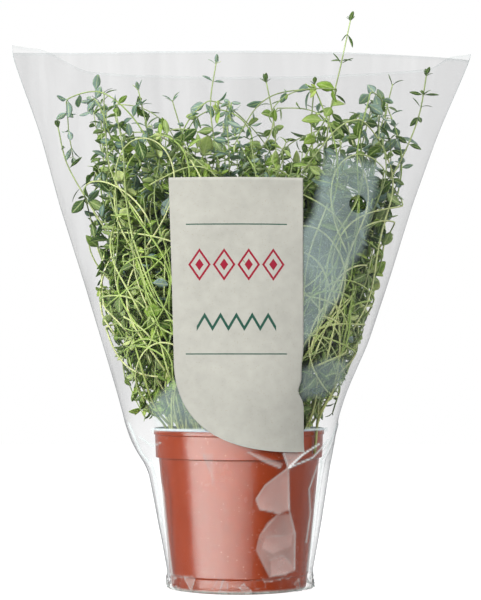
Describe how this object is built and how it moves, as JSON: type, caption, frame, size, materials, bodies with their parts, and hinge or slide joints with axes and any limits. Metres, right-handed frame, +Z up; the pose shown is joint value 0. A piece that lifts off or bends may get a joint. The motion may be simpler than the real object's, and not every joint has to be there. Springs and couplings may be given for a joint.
{
  "type": "potted thyme",
  "caption": "Young thyme growing in a plastic pot of peat, wrapped in a tapering clear film sleeve that is open at the top, with a paper panel on its front.",
  "frame": {"origin": "centre of the pot's foot, on the surface it stands on", "axes": "+Z up, out of the sleeve's mouth; +X to the right along the flat sleeve's width; -Y towards the front, which carries the paper panel"},
  "size_m": [0.2801, 0.1102, 0.3551],
  "materials": {
    "pot": "satin",
    "soil": "matte",
    "thyme": "satin",
    "sleeve": "gloss",
    "front_panel": "matte"
  },
  "bodies": {
    "root": {"front_panel": "front_panel", "pot": "pot", "sleeve": "sleeve", "soil": "soil", "thyme_stem_01": "thyme", "thyme_stem_02": "thyme", "thyme_stem_03": "thyme", "thyme_stem_04": "thyme", "thyme_stem_05": "thyme", "thyme_stem_06": "thyme", "thyme_stem_07": "thyme", "thyme_stem_08": "thyme", "thyme_stem_09": "thyme", "thyme_stem_10": "thyme", "thyme_stem_11": "thyme", "thyme_stem_12": "thyme", "thyme_stem_13": "thyme", "thyme_stem_14": "thyme", "thyme_stem_15": "thyme", "thyme_stem_16": "thyme", "thyme_stem_17": "thyme", "thyme_stem_18": "thyme", "thyme_stem_19": "thyme", "thyme_stem_20": "thyme", "thyme_stem_21": "thyme", "thyme_stem_22": "thyme", "thyme_stem_23": "thyme", "thyme_stem_24": "thyme", "thyme_stem_25": "thyme", "thyme_stem_26": "thyme", "thyme_stem_27": "thyme", "thyme_stem_28": "thyme", "thyme_stem_29": "thyme", "thyme_stem_30": "thyme", "thyme_stem_31": "thyme", "thyme_stem_32": "thyme", "thyme_stem_34": "thyme", "thyme_stem_35": "thyme", "thyme_stem_36": "thyme", "thyme_stem_37": "thyme", "thyme_stem_38": "thyme", "thyme_stem_39": "thyme", "thyme_stem_40": "thyme", "thyme_stem_41": "thyme", "thyme_stem_42": "thyme", "thyme_stem_43": "thyme", "thyme_stem_44": "thyme", "thyme_stem_45": "thyme", "thyme_stem_46": "thyme"}
  },
  "joints": []
}
